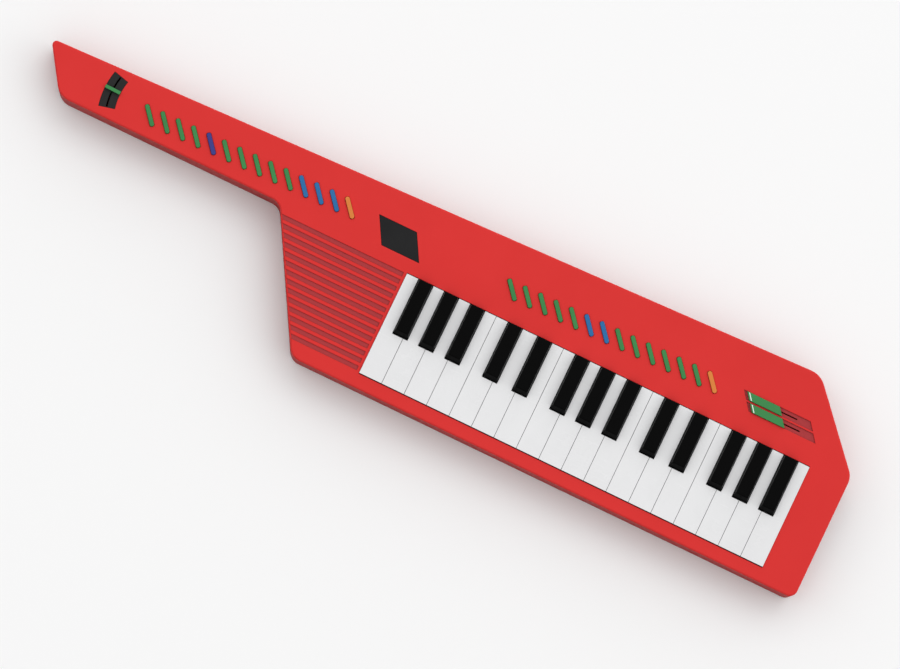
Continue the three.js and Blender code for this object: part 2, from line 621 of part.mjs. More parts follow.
/** A socket: a block behind the jack plate and a round nose through it. */
function socketBody(name, depth, blockHalf) {
  const y = SOCKETS[name];
  const back = JACK_PANEL.face - JACK_PANEL.thick - GAP;
  const housing = block(back - depth, back, y - blockHalf, y + blockHalf, JACK_Z - blockHalf, JACK_Z + blockHalf);
  return housing.add(nose(y, NOSES[name], back - 1, RIGHT_END - 1));
}

function jackPlate() {
  const { y0, y1, z0, z1, face, thick } = JACK_PANEL;
  const lap = 3;
  const plate = block(face - thick, face, y0 - lap, y1 + lap, z0 - lap, z1 + lap);
  const holes = Object.entries(SOCKETS).map(([name, y]) => nose(y, NOSES[name] + GAP, face - 5, face + 5));
  return plate.subtract(union(holes));
}

const phonesJack = socketBody("phones_jack", 16, 6.5)
  .subtract(nose(SOCKETS.phones_jack, 3.25, RIGHT_END - 18, RIGHT_END + 1, 12));
// A ring for the plug's shield round a middle that holds the five contacts.
const midiRing = nose(SOCKETS.midi_socket, 7.4, RIGHT_END - 8, RIGHT_END + 1)
  .subtract(nose(SOCKETS.midi_socket, 5.8, RIGHT_END - 9, RIGHT_END - 2));
const midiContacts = [-60, -30, 0, 30, 60].map((turn) => {
  const [dy, dz] = [3.6 * Math.sin(rad(turn)), -3.6 * Math.cos(rad(turn))];
  return solid(new THREE.CylinderGeometry(0.8, 0.8, 8, 6).rotateZ(Math.PI / 2)
    .translate(RIGHT_END - 4, SOCKETS.midi_socket + dy, JACK_Z + dz));
});
const midiSocket = socketBody("midi_socket", 12, 9).subtract(midiRing).subtract(union(midiContacts));
const powerInlet = socketBody("power_inlet", 10, 5.6)
  .subtract(nose(SOCKETS.power_inlet, 2.9, RIGHT_END - 10, RIGHT_END + 1, 12))
  .add(nose(SOCKETS.power_inlet, 1, RIGHT_END - 11, RIGHT_END - 2, 8));

add("jack_plate", jackPlate(), "trim");
add("phones_jack", phonesJack, "trim");
add("midi_socket", midiSocket, "trim");
add("power_inlet", powerInlet, "trim");

const PIN_PROFILE = [
  [0, 0.5], [4.6, 0.5], [5.6, 1.2], [5.6, 2.4], [3, 3.6], [3, 7], [5, PIN_POCKET.depth - GAP],
  [0, PIN_POCKET.depth - GAP],
];
Object.entries(STRAP_PINS).forEach(([name, [x, y]]) => {
  add(name, turned(PIN_PROFILE, x, y, 16), "steel");
});

export default instrument;
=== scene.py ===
# %% [markdown]
# # A red shoulder keyboard
#
# This notebook dresses a shoulder keyboard (a "keytar") that was first made as exact solids. The
# solids are the frame: they say where every shell, key and button is and how it moves. Here each of
# them gets rounded edges and a finish, and the small trim that the solids leave out is added: screws,
# socket hardware, grille cloth, pocket liners, painted index lines and polished strap pins. The
# shell's walls, the grille cloth and the pocket liners carry a darker red as painted shade.

# %% Load the frame
import math

import bmesh
import bpy
from mathutils import Matrix, Vector


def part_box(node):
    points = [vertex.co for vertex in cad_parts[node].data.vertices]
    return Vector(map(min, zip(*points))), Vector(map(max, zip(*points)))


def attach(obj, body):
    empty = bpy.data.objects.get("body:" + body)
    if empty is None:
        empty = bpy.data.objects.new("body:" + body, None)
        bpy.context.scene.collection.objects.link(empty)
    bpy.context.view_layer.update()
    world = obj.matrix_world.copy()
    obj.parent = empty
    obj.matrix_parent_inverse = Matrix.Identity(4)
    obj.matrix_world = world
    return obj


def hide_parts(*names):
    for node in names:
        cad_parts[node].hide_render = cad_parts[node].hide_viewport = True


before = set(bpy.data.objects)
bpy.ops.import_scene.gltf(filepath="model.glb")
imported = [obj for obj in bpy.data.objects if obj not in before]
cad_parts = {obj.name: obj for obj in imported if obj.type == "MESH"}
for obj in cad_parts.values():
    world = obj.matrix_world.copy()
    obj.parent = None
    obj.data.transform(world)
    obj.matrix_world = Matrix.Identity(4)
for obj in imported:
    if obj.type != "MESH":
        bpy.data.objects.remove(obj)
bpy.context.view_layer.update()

MM = 0.001

# %% [markdown]
# ## The camera
#
# The instrument lies on its back and is looked at from almost straight above, from the player's
# side, with the camera rolled so that the body end hangs lower than the neck. A long lens from far
# away keeps the long edges parallel. An orthographic camera would do that too, but a long lens also
# gives natural views when the camera is moved round the instrument.

# %% Set up the camera
ELEVATION = math.radians(84.4)  # above the surface the instrument lies on
ROLL = math.radians(25.7)
DISTANCE = 4.4
AIM = Vector((27.1, -15.8, 40.0)) * MM  # a point on the front panel, right of the middle
SENSOR_WIDTH, FOCAL_LENGTH = 36, 200  # in millimetres
FARTHEST_SEEN = 50

lens = bpy.data.cameras.new("long_lens")
lens.sensor_width = SENSOR_WIDTH
lens.lens = FOCAL_LENGTH
lens.clip_end = FARTHEST_SEEN
camera = bpy.data.objects.new("camera", lens)
bpy.context.collection.objects.link(camera)
bpy.context.scene.camera = camera

rightwards = Vector((1, 0, 0))
straight_up = Vector((0, math.sin(ELEVATION), math.cos(ELEVATION)))
towards_camera = Vector((0, -math.cos(ELEVATION), math.sin(ELEVATION)))
across = rightwards * math.cos(ROLL) + straight_up * math.sin(ROLL)
upright = straight_up * math.cos(ROLL) - rightwards * math.sin(ROLL)
turn = Matrix((across, upright, towards_camera)).transposed()
camera.matrix_world = Matrix.Translation(AIM + towards_camera * DISTANCE) @ turn.to_4x4()
print("camera stands at", [round(v, 2) for v in camera.location])

# %% [markdown]
# ## Soft boxes
#
# A flat panel mirrors whatever lights it, so one strong lamp would show in it as a milky patch. The
# room gives most of the light in this studio, and three large, weak soft boxes add gentle shadows.
# A sun lamp would be simpler, but its hard shadows would cut across the keys.

# %% Hang three soft boxes
SOFT_BOXES = {  # place in metres, watts, width and height in metres
    "far_soft_box": ((0.0, 3.1, 4.8), 34, 5.0, 2.6),
    "left_soft_box": ((-4.4, 0.6, 3.4), 15, 2.6, 2.6),
    "right_soft_box": ((4.4, 0.6, 3.4), 15, 2.6, 2.6),
}
for name, (place, watts, width, height) in SOFT_BOXES.items():
    lamp = bpy.data.lights.new(name, "AREA")
    lamp.shape = "RECTANGLE"
    lamp.size, lamp.size_y, lamp.energy = width, height, watts
    stand = bpy.data.objects.new(name, lamp)
    bpy.context.collection.objects.link(stand)
    stand.location = place
    stand.rotation_euler = (AIM - Vector(place)).to_track_quat("-Z", "Y").to_euler()
print("soft boxes:", list(SOFT_BOXES))

# %% [markdown]
# ## The table
#
# The instrument lies on a matt, nearly white table. One large square is enough, because it is seen
# only as a plain pale ground. It lies a hair below the instrument, so that the two never share a
# face.

# %% Lay the table
TABLE_TONE = (0.90, 0.90, 0.90, 1)
TABLE_HALF = 12.0
TABLE_DROP = 0.0004

table_mesh = bpy.data.meshes.new("table")
table_mesh.from_pydata(
    [(x, y, -TABLE_DROP) for x, y in ((-1, -1), (1, -1), (1, 1), (-1, 1))], [], [(0, 1, 2, 3)]
)
table_mesh.transform(Matrix.Diagonal((TABLE_HALF, TABLE_HALF, 1, 1)))
table = bpy.data.objects.new("table", table_mesh)
bpy.context.collection.objects.link(table)
paint = bpy.data.materials.new("table_paint")
paint.use_nodes = True
paint_shader = paint.node_tree.nodes["Principled BSDF"]
paint_shader.inputs["Base Color"].default_value = TABLE_TONE
paint_shader.inputs["Roughness"].default_value = 0.9
paint_shader.inputs["Specular IOR Level"].default_value = 0.1
table_mesh.materials.append(paint)
print("a table", 2 * TABLE_HALF, "metres wide")

# %% [markdown]
# ## The room
#
# The room is a glow that is strongest up behind the far edge and fades towards the player, so the
# side that faces the player stays darker than the panel. The glow is the direction of each ray
# compared with the bright direction. The camera sees an even backdrop in place of the glow. The
# recorded light of a real studio would be richer, but it would have to be read from a file.

# %% Light the room
BRIGHT_SIDE = (0.26, 0.62, 0.74)  # up behind the far edge, and a little to the right
DARKEST = -0.9  # where the glow has faded out: 1 points at the bright side, and -1 away from it
ROOM_LIGHT = 1.25
BACKDROP = (0.93, 0.93, 0.93, 1)

world = bpy.data.worlds.new("studio")
bpy.context.scene.world = world
world.use_nodes = True
sky = world.node_tree
room = sky.nodes["Background"]
room.inputs["Color"].default_value = (1, 1, 1, 1)
heading = sky.nodes.new("ShaderNodeTexCoord")
facing = sky.nodes.new("ShaderNodeVectorMath")
facing.operation = "DOT_PRODUCT"
facing.inputs[1].default_value = BRIGHT_SIDE
glow = sky.nodes.new("ShaderNodeMapRange")
glow.inputs["From Min"].default_value = DARKEST
glow.inputs["To Max"].default_value = ROOM_LIGHT
backdrop = sky.nodes.new("ShaderNodeBackground")
backdrop.inputs["Color"].default_value = BACKDROP
seen = sky.nodes.new("ShaderNodeLightPath")
either = sky.nodes.new("ShaderNodeMixShader")
sky.links.new(heading.outputs["Generated"], facing.inputs[0])
sky.links.new(facing.outputs["Value"], glow.inputs["Value"])
sky.links.new(glow.outputs["Result"], room.inputs["Strength"])
sky.links.new(seen.outputs["Is Camera Ray"], either.inputs[0])
sky.links.new(room.outputs[0], either.inputs[1])
sky.links.new(backdrop.outputs[0], either.inputs[2])
sky.links.new(either.outputs[0], sky.nodes["World Output"].inputs["Surface"])
bpy.context.scene.view_settings.view_transform = "Standard"
print("room light up to", ROOM_LIGHT, "and a backdrop of", BACKDROP[0])

# %% [markdown]
# ## Building blocks for finishes
#
# Every finish below is a Principled shader with a few textures wired in. A texture reads the piece's
# own coordinates in metres, so a noise scale of 1000 means lumps about a millimetre wide, and the
# pattern stays with a key when it moves. Small functions for one effect each keep the finishes short.
# One big node group would hide what each finish is made of.

# %% A plain finish and its colours


def tone(red, green, blue):
    """A colour as a paint chart gives it, 0 to 255, as the linear colour that a shader takes."""
    parts = [c / 255 for c in (red, green, blue)]
    return (*[c / 12.92 if c <= 0.04045 else ((c + 0.055) / 1.055) ** 2.4 for c in parts], 1)


def shade(colour, factor):
    """A colour made darker (a factor under 1) or lighter (over 1)."""
    return (*[min(1.0, c * factor) for c in colour[:3]], 1)


def new_finish(name, colour, roughness, metallic=0.0, specular=0.5):
    finish = bpy.data.materials.new(name)
    finish.use_nodes = True
    shader = finish.node_tree.nodes["Principled BSDF"]
    shader.inputs["Base Color"].default_value = colour
    shader.inputs["Roughness"].default_value = roughness
    shader.inputs["Metallic"].default_value = metallic
    shader.inputs["Specular IOR Level"].default_value = specular
    finish.diffuse_color = colour
    return finish


def parts_of(finish):
    """The node tree of a finish and its shader."""
    tree = finish.node_tree
    return tree, tree.nodes["Principled BSDF"]


print("128 on a paint chart is", round(tone(128, 128, 128)[0], 3), "to a shader")

# %% Textures
NOISE_LOW, NOISE_HIGH = 0.3, 0.7  # nearly all of a noise lies between these


def noise(tree, scale, detail=3.0, stretch=(1, 1, 1), rough=0.5):
    """A noise in the piece's own coordinates, which are in metres."""
    place = tree.nodes.new("ShaderNodeTexCoord")
    spread = tree.nodes.new("ShaderNodeMapping")
    spread.inputs["Scale"].default_value = stretch
    cloud = tree.nodes.new("ShaderNodeTexNoise")
    cloud.inputs["Scale"].default_value = scale
    cloud.inputs["Detail"].default_value = detail
    cloud.inputs["Roughness"].default_value = rough
    tree.links.new(place.outputs["Object"], spread.inputs["Vector"])
    tree.links.new(spread.outputs["Vector"], cloud.inputs["Vector"])
    return cloud.outputs["Fac"]


def remap(tree, value, low=NOISE_LOW, high=NOISE_HIGH, to_low=0, to_high=1):
    """Stretches the part of a value from low to high over to_low to to_high, and clips the rest."""
    stretch = tree.nodes.new("ShaderNodeMapRange")
    stretch.inputs["From Min"].default_value = low
    stretch.inputs["From Max"].default_value = high
    stretch.inputs["To Min"].default_value = to_low
    stretch.inputs["To Max"].default_value = to_high
    tree.links.new(value, stretch.inputs["Value"])
    return stretch.outputs["Result"]


print("a noise is stretched from", NOISE_LOW, "and", NOISE_HIGH, "to its full range")

# %% Join textures


def combine(tree, operation, first, second):
    """Two values added ("ADD") or multiplied ("MULTIPLY")."""
    both = tree.nodes.new("ShaderNodeMath")
    both.operation = operation
    tree.links.new(first, both.inputs[0])
    tree.links.new(second, both.inputs[1])
    return both.outputs[0]


def mix_colours(tree, share, first, second):
    """first where share is 0 and second where it is 1. Each is a colour or another node's output."""
    mixer = tree.nodes.new("ShaderNodeMix")
    mixer.data_type = "RGBA"
    tree.links.new(share, mixer.inputs["Factor"])
    for socket, value in ((mixer.inputs["A"], first), (mixer.inputs["B"], second)):
        if isinstance(value, tuple):
            socket.default_value = value
        else:
            tree.links.new(value, socket)
    return mixer.outputs["Result"]


def paint_with(finish, share, first, second):
    """Colours a finish: first where share is 0 and second where it is 1."""
    tree, shader = parts_of(finish)
    tree.links.new(mix_colours(tree, share, first, second), shader.inputs["Base Color"])


print("textures join by:", [tool.__name__ for tool in (remap, combine, mix_colours, paint_with)])

# %% Edges and grain
EDGE_POINTINESS = (0.52, 0.62)  # flat ground lies near 0.5, and an edge that sticks out over it
ROUNDING_SAMPLES = 6


def edge_share(tree):
    """0 on flat places, rising to 1 where an edge sticks out and hands rub it."""
    form = tree.nodes.new("ShaderNodeNewGeometry")
    edges = remap(tree, form.outputs["Pointiness"], *EDGE_POINTINESS)
    patches = remap(tree, noise(tree, 45, 5), 0.42, 0.62, 0.15, 1)
    return combine(tree, "MULTIPLY", edges, patches)


def add_grain(finish, layers, rounding=0.0):
    """Bumps on the surface. Each layer is (height source, depth in metres)."""
    tree, shader = parts_of(finish)
    last = None
    if rounding:
        soft_edge = tree.nodes.new("ShaderNodeBevel")
        soft_edge.samples = ROUNDING_SAMPLES
        soft_edge.inputs["Radius"].default_value = rounding
        last = soft_edge.outputs["Normal"]
    for height, depth in layers:
        bump = tree.nodes.new("ShaderNodeBump")
        bump.inputs["Distance"].default_value = depth
        tree.links.new(height, bump.inputs["Height"])
        if last is not None:
            tree.links.new(last, bump.inputs["Normal"])
        last = bump.outputs["Normal"]
    tree.links.new(last, shader.inputs["Normal"])


print("rubbed edges start at a pointiness of", EDGE_POINTINESS[0])

# %% [markdown]
# ## Moulded plastic
#
# The shells, keys, buttons and trim are all injection-moulded plastic. They differ in colour, in how
# polished the mould was, and in how hands have treated them. One recipe with those things as values
# suits them all: a slightly uneven colour, a sheen that hands have made uneven, a fine spark texture
# from the mould, hair scratches, and edges that have gone pale or shiny. A separate finish for each
# piece could be richer, but pieces from one factory should look related.

# %% Recipe for moulded plastic
SPARK_SCALE, SINK_SCALE = 2600, 60  # the fine texture of the mould, and the slow waves under it


def moulded(name, colour, roughness, sheen_spread=0.06, grain=0.00003, edge=1.25, specular=0.5,
            unevenness=0.05, rounding=0.0):
    """Plastic from a mould: edge is how much lighter (or darker) its rubbed edges are."""
    finish = new_finish(name, colour, roughness, specular=specular)
    tree, shader = parts_of(finish)
    blotches = remap(tree, noise(tree, 11, 4))
    flow = mix_colours(tree, blotches, shade(colour, 1 - unevenness), shade(colour, 1 + unevenness))
    paint_with(finish, edge_share(tree), flow, shade(colour, edge))
    handled = noise(tree, 38, 6, rough=0.65)
    handled = remap(tree, handled, to_low=-sheen_spread, to_high=sheen_spread)
    scratches = noise(tree, 900, 2, stretch=(0.04, 1, 1))
    scratches = remap(tree, scratches, 0.62, 0.75, roughness, roughness + sheen_spread)
    tree.links.new(combine(tree, "ADD", handled, scratches), shader.inputs["Roughness"])
    layers = [(noise(tree, SPARK_SCALE, 2), grain), (noise(tree, SINK_SCALE, 2), grain * 2)]
    add_grain(finish, layers, rounding)
    return finish


print("the mould's spark texture has lumps of", round(1 / SPARK_SCALE / MM, 2), "mm")

# %% The moulded finishes
# The deep red is painted shade for the shell's walls; what faces up gets the panel's red further down.
shell_red = moulded("shell_red", tone(158, 36, 34), 0.6, grain=0.00005, edge=1.1, specular=0.12,
                    rounding=0.5 * MM)
key_white = moulded("key_white", tone(226, 226, 227), 0.24, grain=0.00001, edge=0.93, specular=0.4,
                    unevenness=0.02)
key_black = moulded("key_black", tone(3, 3, 3), 0.4, grain=0.00002, edge=1.8, specular=0.04)
button_green = moulded("button_green", tone(56, 127, 71), 0.45, edge=1.3, specular=0.18)
button_navy = moulded("button_navy", tone(56, 58, 129), 0.45, edge=1.3, specular=0.18)
button_blue = moulded("button_blue", tone(38, 103, 158), 0.45, edge=1.3, specular=0.18)
button_orange = moulded("button_orange", tone(212, 125, 57), 0.45, edge=1.15, specular=0.18)
trim_black = moulded("trim_black", tone(34, 34, 34), 0.55, grain=0.00005, edge=1.6, specular=0.15)
chassis_grey = moulded("chassis_grey", tone(184, 182, 172), 0.6, grain=0.00003, edge=1.1)
paint_white = moulded("paint_white", tone(226, 238, 228), 0.5, grain=0.00001, edge=0.95)
print("the shell's plastic has", len(shell_red.node_tree.nodes), "nodes")

# %% [markdown]
# ## Painted shade on the shell's walls
#
# The shell's faces that face up get the panel's bright red, and every wall keeps a deeper red:
# painted shade, laid on top of the real shade that the lamps give. The red is chosen by direction,
# wherever the surface faces up, so every wall stays deep red, in the grooves and pockets too. It
# could be a second material on chosen faces, but the direction finds the faces by itself, the chamfer
# round the rim among them.

# %% The panel's red on what faces up, painted shade on the walls
FACES_UP = (0.6, 0.68)  # the upward part of the surface's direction, where the panel's red takes over from the painted shade
shell_tree, shell_shader = parts_of(shell_red)
deep_red_painted_shade = shell_shader.inputs["Base Color"].links[0].from_socket
form = shell_tree.nodes.new("ShaderNodeTexCoord")
direction = shell_tree.nodes.new("ShaderNodeSeparateXYZ")
shell_tree.links.new(form.outputs["Normal"], direction.inputs["Vector"])
# What faces up takes the panel's red; the walls keep the deep red, which is painted shade.
faces_up_share = remap(shell_tree, direction.outputs["Z"], *FACES_UP)
panel_red_blotches = remap(shell_tree, noise(shell_tree, 14, 3))
panel_red = mix_colours(shell_tree, panel_red_blotches, tone(210, 48, 46), tone(214, 50, 48))
paint_with(shell_red, faces_up_share, deep_red_painted_shade, panel_red)
lean_limit = math.degrees(math.acos(FACES_UP[0]))
print("lacquer where the surface leans less than", round(lean_limit), "degrees")

# %% [markdown]
# ## The smoked window
#
# The display sits behind a dark acrylic lens. Real acrylic is clear with a tint, and from outside it
# looks like a polished near-black panel until the digits light. A dark base under a clear coat looks
# the same and costs nothing to trace. Fine hair scratches and a faint film of finger grease in the
# roughness keep it from looking like a hole.

# %% Smoked acrylic
window_smoke = new_finish("window_smoke", tone(34, 34, 35), 0.35, specular=0.1)
smoke_tree, smoke_shader = parts_of(window_smoke)
smoke_shader.inputs["Coat Weight"].default_value = 0.08
smoke_shader.inputs["Coat Roughness"].default_value = 0.08
film = remap(smoke_tree, noise(smoke_tree, 55, 5), 0.35, 0.7, 0.12, 0.4)
smoke_tree.links.new(film, smoke_shader.inputs["Roughness"])
tint = remap(smoke_tree, noise(smoke_tree, 30, 2))
paint_with(window_smoke, tint, tone(22, 22, 23), tone(28, 28, 29))
add_grain(window_smoke, [(noise(smoke_tree, 1500, 1, stretch=(0.05, 1, 1)), 0.000004)])
print("a smoked window with", len(smoke_tree.nodes), "nodes")

# %% [markdown]
# ## Metal
#
# The strap pins, screws and socket parts are nickel plated steel, and the speaker's frame is a zinc
# plated pressing. Plating follows the tool marks under it, so the roughness is drawn out into fine
# lines, and zinc also has dull stains. A mirror-smooth metal would be easier, but it would look like
# chrome.

# %% Plated metals


def plated(name, colour, roughness, line_scale, stain=0.18):
    """Bright metal with tool marks: stain is how much darker its dull patches are."""
    finish = new_finish(name, colour, roughness, metallic=1.0)
    tree, shader = parts_of(finish)
    lines = noise(tree, line_scale, 3, stretch=(1, 1, 0.06))
    marks = remap(tree, lines, to_low=roughness * 0.7, to_high=roughness * 1.4)
    tree.links.new(marks, shader.inputs["Roughness"])
    stains = remap(tree, noise(tree, 130, 4), 0.4, 0.75)
    paint_with(finish, stains, colour, shade(colour, 1 - stain))
    add_grain(finish, [(lines, 0.00001)])
    return finish


nickel = plated("nickel", (0.62, 0.60, 0.56, 1), 0.24, 1800)
zinc = plated("zinc", (0.52, 0.54, 0.56, 1), 0.42, 700, stain=0.33)
print("plated:", nickel.name, "and", zinc.name)

# %% [markdown]
# ## Grille cloth as a finish
#
# The cloth behind the grille is a plain weave in a dark red, which is painted shade: it gives the
# floors of the grooves and pockets the darker red of a recess in shade. Two crossed sets of ribs,
# multiplied, give its threads both as colour and as bumps. A woven mesh of real threads would be far
# heavier, and at this size nobody could tell the two apart.

# %% Weave the cloth
WEAVE = 420  # a thread about every 0.75 mm


def waves(tree, scale, direction, distortion):
    """Parallel ribs that repeat along the X, Y or Z direction."""
    place = tree.nodes.new("ShaderNodeTexCoord")
    ribs = tree.nodes.new("ShaderNodeTexWave")
    ribs.bands_direction = direction
    ribs.inputs["Scale"].default_value = scale
    ribs.inputs["Distortion"].default_value = distortion
    tree.links.new(place.outputs["Object"], ribs.inputs["Vector"])
    return ribs.outputs["Fac"]


# This dark red is painted shade for the floors of the grooves and pockets; the weave is the cloth's
# own pattern.
grille_red = new_finish("grille_red", tone(169, 61, 64), 0.85, specular=0.2)
cloth_tree = grille_red.node_tree
warp, weft = [waves(cloth_tree, WEAVE, direction, 0.4) for direction in "XY"]
weave = combine(cloth_tree, "MULTIPLY", warp, weft)
paint_with(grille_red, weave, tone(163, 54, 57), tone(185, 68, 70))
add_grain(grille_red, [(weave, 0.0001)])
print("cloth with a weave of scale", WEAVE)

# %% [markdown]
# ## Paper and rubber
#
# The speaker's cone is pressed paper with short fibres, and the contact strip under the keys is dull
# silicone rubber that gathers dust. Fibres could be modelled as hair and dust as flakes, but both
# pieces lie deep inside, so a noise or two that colours the surface and raises it is enough.

# %% Pressed paper
speaker_paper = new_finish("speaker_paper", tone(34, 33, 33), 0.92, specular=0.2)
cone_tree = speaker_paper.node_tree
fibres = noise(cone_tree, 1300, 4, stretch=(1, 0.25, 1), rough=0.7)
paint_with(speaker_paper, remap(cone_tree, fibres, 0.35, 0.7), tone(28, 27, 27), tone(52, 50, 49))
add_grain(speaker_paper, [(fibres, 0.00008)])
print("pressed paper with", len(cone_tree.nodes), "nodes")

# %% Silicone rubber
silicone = new_finish("silicone", tone(58, 58, 60), 0.8, specular=0.3)
silicone_tree = silicone.node_tree
dust = remap(silicone_tree, noise(silicone_tree, 260, 6, rough=0.7), 0.5, 0.72)
paint_with(silicone, dust, tone(56, 56, 58), tone(96, 94, 90))
add_grain(silicone, [(noise(silicone_tree, 900, 3), 0.00004)])
print("silicone rubber with", len(silicone_tree.nodes), "nodes")

# %% [markdown]
# ## Circuit board
#
# The boards have a green solder mask over copper tracks, which show as a faint raised grid. Two
# bent sets of waves make a maze that reads as tracks. Drawing real tracks would take a circuit to
# draw, and the boards are seen only through the button slots.

# %% Solder mask over tracks
board_green = new_finish("board_green", tone(46, 92, 60), 0.38)
board_tree = board_green.node_tree
columns, rows = waves(board_tree, 62, "X", 3.0), waves(board_tree, 81, "Y", 2.0)
maze = combine(board_tree, "MULTIPLY", columns, rows)
tracks = remap(board_tree, maze, 0.35, 0.5)
paint_with(board_green, tracks, tone(38, 80, 52), tone(66, 122, 76))
add_grain(board_green, [(tracks, 0.00003)])
print("a circuit board with", len(board_tree.nodes), "nodes")

# %% [markdown]
# ## Rounding and dressing the solids
#
# The solids have knife-sharp edges, which no moulding has: an edge with a small radius catches a
# line of light, and much of what makes plastic look like plastic is that line. Three modifiers round
# a solid without touching its mesh. Weld joins the corners of its triangles, a bevel rounds every
# edge sharper than its angle limit, and weighted normals keep the large faces flat. The two casings
# are left out, because a bevel would tangle where their many slots and grooves meet. They have a
# chamfer round the rim in the solid, and the Bevel node in their finish softens every edge.

# %% Dress one solid
SHARP = math.radians(28)  # a fold sharper than this is an edge, and a blunter one is a curve
WELD_GAP = 0.002 * MM


def round_edges(piece, radius_mm, segments=2):
    """Rounds a piece's edges and keeps its large faces flat."""
    rounding = piece.modifiers.new("round edges", "BEVEL")
    rounding.width = radius_mm * MM
    rounding.segments = segments
    rounding.limit_method = "ANGLE"
    rounding.angle_limit = SHARP
    evened = piece.modifiers.new("even normals", "WEIGHTED_NORMAL")
    evened.keep_sharp = False
    return rounding


def dress(node, finish, radius_mm, segments):
    """Gives a solid its finish. A radius of 0 leaves the rounding of its edges to the finish."""
    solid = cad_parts[node]
    solid.data.materials.clear()
    solid.data.materials.append(finish)
    faces = solid.data.polygons
    faces.foreach_set("material_index", [0] * len(faces))
    faces.foreach_set("use_smooth", [True] * len(faces))
    if not radius_mm:
        solid.data.set_sharp_from_angle(angle=SHARP)
        return
    weld = solid.modifiers.new("join triangles", "WELD")
    weld.merge_threshold = WELD_GAP
    rounding = round_edges(solid, radius_mm, segments)
    rounding.use_clamp_overlap = False
    rounding.miter_outer = "MITER_ARC"


print("an edge is a fold of more than", round(math.degrees(SHARP)), "degrees")

# %% [markdown]
# ## Which finish goes where
#
# The black keys are rubbed most and have the roundest edges. The white keys stand close together, so
# a larger radius would open their gaps. Buttons and caps are soft to the finger, and covers, boards
# and sockets have the small radius that any mould leaves. One table says it all, which is easier to
# read and to change than a line of code for each piece.

# %% Dress every solid
BUTTON_FINISH = {
    "green": button_green, "navy": button_navy, "blue": button_blue, "orange": button_orange,
}
LARGE_RADIUS = 0.6  # an edge rounder than this takes one more step to look round
plan = {  # finish, and the radius of the edges in millimetres
    "top_casing": (shell_red, 0), "bottom_casing": (shell_red, 0),
    "battery_door": (shell_red, 0.25), "bend_guide": (trim_black, 0.1),
    "bend_lever": (button_green, 0.45), "display_window": (window_smoke, 0.25),
    "display_module": (trim_black, 0.15), "volume_slider": (button_green, 0.3),
    "tempo_slider": (button_green, 0.3), "key_chassis": (chassis_grey, 0.2),
    "key_pivot_rod": (nickel, 0.2), "contact_strip": (silicone, 0.3),
    "neck_board": (board_green, 0.1), "main_board": (board_green, 0.1),
    "speaker_frame": (zinc, 0.3), "speaker_cone": (speaker_paper, 0.2),
    "jack_plate": (trim_black, 0.25), "phones_jack": (trim_black, 0.25),
    "midi_socket": (trim_black, 0.2), "power_inlet": (trim_black, 0.2),
}
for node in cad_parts:
    if node.startswith("key_") and node not in plan:
        note = node.split("_")[1]
        sharp_note = "s" in note
        plan[node] = (key_black, 0.9) if sharp_note else (key_white, 0.15)
    elif "_buttons_" in node:
        plan[node] = (BUTTON_FINISH[node.rsplit("_", 1)[1]], 0.45)
for node, (finish, radius_mm) in plan.items():
    dress(node, finish, radius_mm, segments=3 if radius_mm > LARGE_RADIUS else 2)
print("dressed", len(plan), "of", len(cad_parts), "solids")

# %% [markdown]
# ## Turned metal: the strap pins
#
# A strap pin is turned on a lathe: a disc foot, a waist that the strap's eyelet drops over, and a
# broad head with a soft rim. A lathe profile spun in small steps gives the true round form, which
# stands in for the many-sided solid. Blender's screw modifier could spin it too, but a ring of
# vertices for each point of the profile closes the ends neatly on the axis.

# %% Make a piece


def new_piece(name, mesh, finish, body="casing", smooth=True):
    """A finished mesh as a piece of the instrument that rides on a body."""
    mesh.materials.append(finish)
    if smooth:
        mesh.polygons.foreach_set("use_smooth", [True] * len(mesh.polygons))
        mesh.set_sharp_from_angle(angle=SHARP)
    piece = bpy.data.objects.new(name, mesh)
    bpy.context.collection.objects.link(piece)
    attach(piece, body)
    return piece


def as_mesh(name, shape):
    """Turns a finished bmesh into a mesh."""
    mesh = bpy.data.meshes.new(name)
    shape.to_mesh(mesh)
    shape.free()
    return mesh


print("new pieces ride on the casing unless they name another body")

# %% Turn a profile
ROUND_STEPS = 48  # corners in a turned ring, where the piece is large enough to show them


def turned(name, profile, centre, steps=ROUND_STEPS, axis="Z"):
    """A mesh turned from (radius, distance along the axis) pairs in millimetres."""
    shape = bmesh.new()
    rings = []
    for radius, along in profile:
        ring = []
        for i in range(steps if radius else 1):
            angle = math.tau * i / steps
            spot = Vector((radius * math.cos(angle), radius * math.sin(angle), along))
            if axis == "X":
                spot = Vector((spot.z, spot.x, spot.y))
            ring.append(shape.verts.new((spot + Vector(centre)) * MM))
        rings.append(ring)
    for low, high in zip(rings, rings[1:]):
        for i in range(steps):
            here = [low[i % len(low)], high[i % len(high)]]
            next_spot = (i + 1) % steps
            there = [low[next_spot % len(low)], high[next_spot % len(high)]]
            corners = list(dict.fromkeys((here[0], there[0], there[1], here[1])))
            if len(corners) > 2:
                shape.faces.new(corners)
    bmesh.ops.recalc_face_normals(shape, faces=shape.faces)
    return as_mesh(name, shape)


print("a turned ring has a corner every", 360 / ROUND_STEPS, "degrees")

# %% Turn the strap pins
PIN_PROFILE = [
    (0, 0.5), (4.2, 0.5), (5.2, 0.75), (5.6, 1.3), (5.6, 2.2), (5.2, 2.7), (3.6, 3.2), (3.0, 4.0),
    (3.0, 6.6), (3.6, 7.4), (5.0, 8.2), (5.0, 8.7), (0, 8.7),
]
for pin in ("strap_pin_neck", "strap_pin_body"):
    low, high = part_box(pin)
    middle = (low + high) / 2 / MM
    mesh = turned(pin + "_turned", PIN_PROFILE, (middle.x, middle.y, 0))
    piece = new_piece(pin + "_turned", mesh, nickel)
    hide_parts(pin)
print("strap pins turned, with", len(mesh.polygons), "faces each")

